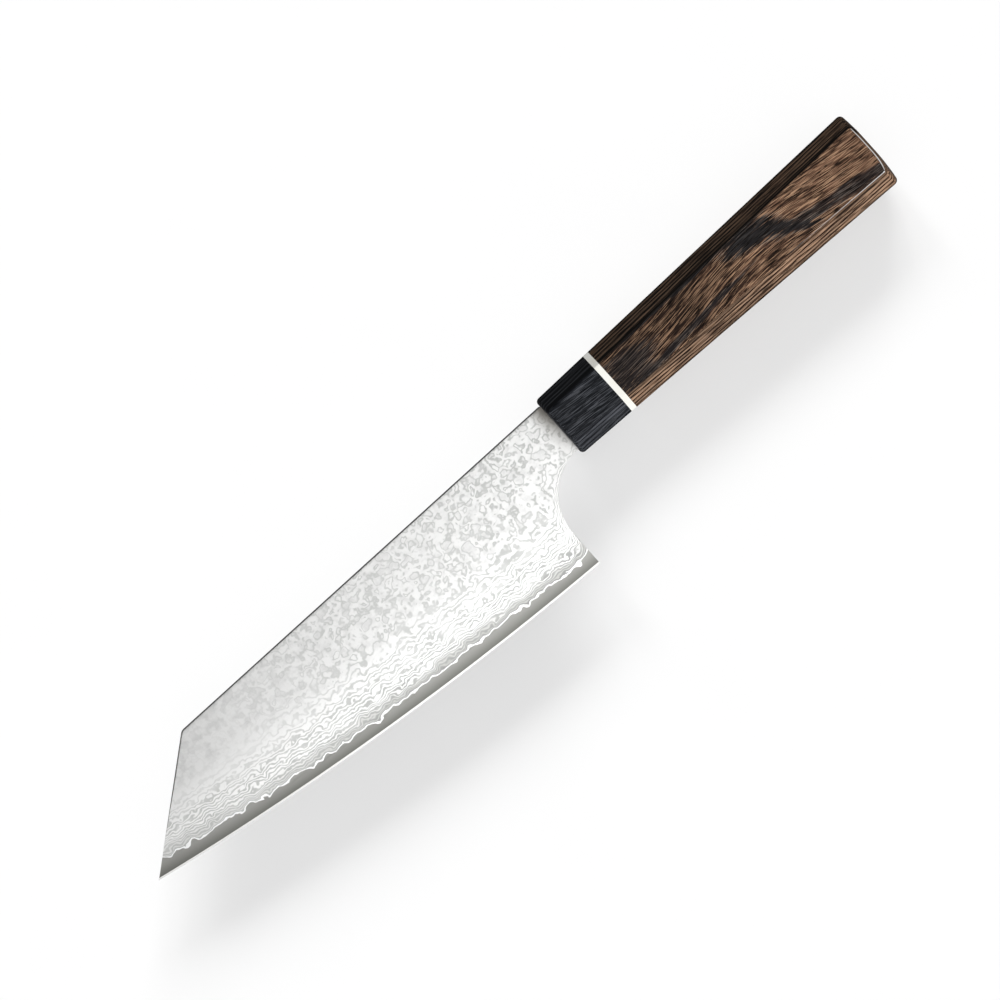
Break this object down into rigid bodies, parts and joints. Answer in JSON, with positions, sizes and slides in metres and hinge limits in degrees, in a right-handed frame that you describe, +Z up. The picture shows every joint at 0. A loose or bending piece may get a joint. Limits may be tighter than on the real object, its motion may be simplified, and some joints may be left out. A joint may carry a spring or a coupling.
{
  "type": "bunka knife",
  "caption": "Kitchen knife with a straight-clipped bunka point, layered-steel blade with a wavy core line, and an octagonal wooden handle with ferrule and spacer.",
  "frame": {"origin": "centre of the knife's box, on the plane that the handle's right side lies on", "axes": "+X along the handle towards the butt, +Y from the cutting edge towards the spine, +Z up out of the blade's left face"},
  "size_m": [0.3094, 0.0524, 0.0209],
  "materials": {
    "core_steel": "satin ground stainless core, polished along the honed edge",
    "layered_steel": "etched layered steel, pale with light grey figure",
    "black_laminate": "black dyed laminated wood, satin",
    "ivory_resin": "ivory resin, polished flush",
    "brown_laminate": "brown and black laminated wood, satin",
    "dowel_wood": "plain beech, unfinished",
    "cured_epoxy": "cured amber adhesive"
  },
  "bodies": {
    "root": {"blade_core": "core_steel", "cladding_left": "layered_steel", "cladding_right": "layered_steel", "ferrule": "black_laminate", "spacer_ring": "ivory_resin", "handle_body": "brown_laminate", "coupling_dowel": "dowel_wood", "tang_potting": "cured_epoxy"}
  },
  "joints": []
}
